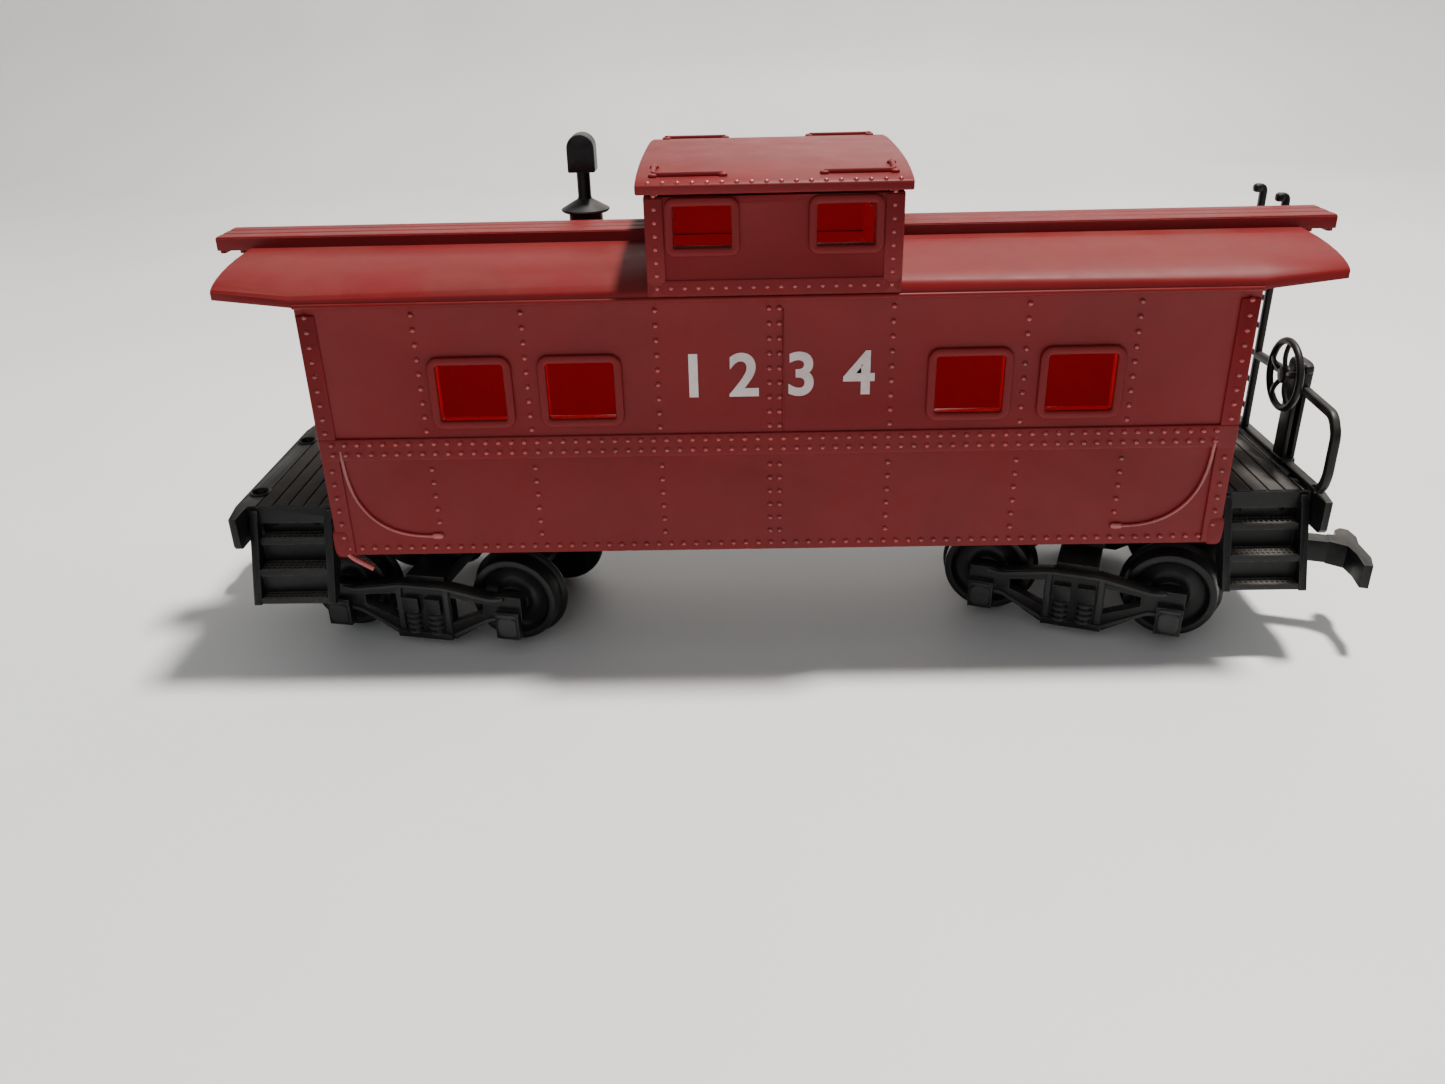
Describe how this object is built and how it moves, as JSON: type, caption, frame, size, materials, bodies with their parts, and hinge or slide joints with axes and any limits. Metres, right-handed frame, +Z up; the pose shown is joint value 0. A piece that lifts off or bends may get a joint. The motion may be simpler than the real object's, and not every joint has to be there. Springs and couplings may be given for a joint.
{
  "type": "model railway caboose",
  "caption": "Small-scale model railway caboose with cupola, end platforms, swivelling trucks, turning wheels and swinging hook-and-horn couplers.",
  "frame": {"origin": "middle of the vehicle at the height of the surface that its wheel flanges stand on", "axes": "+X along the vehicle towards the end with the railing, +Y across it towards its far side, +Z up"},
  "size_m": [0.1436, 0.0342, 0.0586],
  "materials": {
    "red_plastic": "moulded red plastic, dusty and slightly worn",
    "black_plastic": "moulded black plastic, dusty on its upper faces",
    "weight_steel": "plain rolled steel sheet"
  },
  "bodies": {
    "van": {"body_shell": "red_plastic", "cupola_roof": "red_plastic", "smokejack": "black_plastic", "underframe": "black_plastic", "steps_right_near": "black_plastic", "steps_right_far": "black_plastic", "steps_left_near": "black_plastic", "steps_left_far": "black_plastic", "ballast_weight": "weight_steel", "end_railing": "black_plastic", "truck_pin_right": "black_plastic", "truck_pin_left": "black_plastic"},
    "brake_wheel": {"brake_wheel": "black_plastic"},
    "truck_right": {"truck_frame_right": "black_plastic", "coupler_cover_right": "black_plastic"},
    "truck_left": {"truck_frame_left": "black_plastic", "coupler_cover_left": "black_plastic"},
    "coupler_right": {"coupler_right": "black_plastic"},
    "coupler_left": {"coupler_left": "black_plastic"},
    "wheelset_right_outer": {"axle_right_outer": "black_plastic", "wheel_right_outer_near": "black_plastic", "wheel_right_outer_far": "black_plastic"},
    "wheelset_right_inner": {"axle_right_inner": "black_plastic", "wheel_right_inner_near": "black_plastic", "wheel_right_inner_far": "black_plastic"},
    "wheelset_left_outer": {"axle_left_outer": "black_plastic", "wheel_left_outer_near": "black_plastic", "wheel_left_outer_far": "black_plastic"},
    "wheelset_left_inner": {"axle_left_inner": "black_plastic", "wheel_left_inner_near": "black_plastic", "wheel_left_inner_far": "black_plastic"}
  },
  "joints": [
    {"name": "truck_right_swivel", "type": "hinge", "parent": "van", "child": "truck_right", "pos_m": [0.0411, 0, 0], "axis": [0, 0, 1], "range_deg": [-0.5, 40.5]},
    {"name": "truck_left_swivel", "type": "hinge", "parent": "van", "child": "truck_left", "pos_m": [-0.0411, 0, 0], "axis": [0, 0, 1], "range_deg": [-9.5, 31.5]},
    {"name": "wheelset_right_outer_spin", "type": "hinge", "parent": "truck_right", "child": "wheelset_right_outer", "pos_m": [0.05144, -0.00376, 0.0061], "axis": [0.342, 0.9397, 0], "continuous": true},
    {"name": "wheelset_right_inner_spin", "type": "hinge", "parent": "truck_right", "child": "wheelset_right_inner", "pos_m": [0.03076, 0.00376, 0.0061], "axis": [0.342, 0.9397, 0], "continuous": true},
    {"name": "wheelset_left_outer_spin", "type": "hinge", "parent": "truck_left", "child": "wheelset_left_outer", "pos_m": [-0.0519, 0.0021, 0.0061], "axis": [0.1908, 0.9816, 0], "continuous": true},
    {"name": "wheelset_left_inner_spin", "type": "hinge", "parent": "truck_left", "child": "wheelset_left_inner", "pos_m": [-0.0303, -0.0021, 0.0061], "axis": [0.1908, 0.9816, 0], "continuous": true},
    {"name": "coupler_right_swing", "type": "hinge", "parent": "truck_right", "child": "coupler_right", "pos_m": [0.05426, -0.00479, 0.0101], "axis": [0, 0, 1], "range_deg": [-17, 13], "stiffness_Nm_per_rad": 0.0002},
    {"name": "coupler_left_swing", "type": "hinge", "parent": "truck_left", "child": "coupler_left", "pos_m": [-0.05484, 0.00267, 0.0101], "axis": [0, 0, 1], "range_deg": [-15, 15], "stiffness_Nm_per_rad": 0.0002},
    {"name": "brake_wheel_spin", "type": "hinge", "parent": "van", "child": "brake_wheel", "pos_m": [0.0608, -0.0046, 0.031], "axis": [1, 0, 0], "continuous": true}
  ]
}
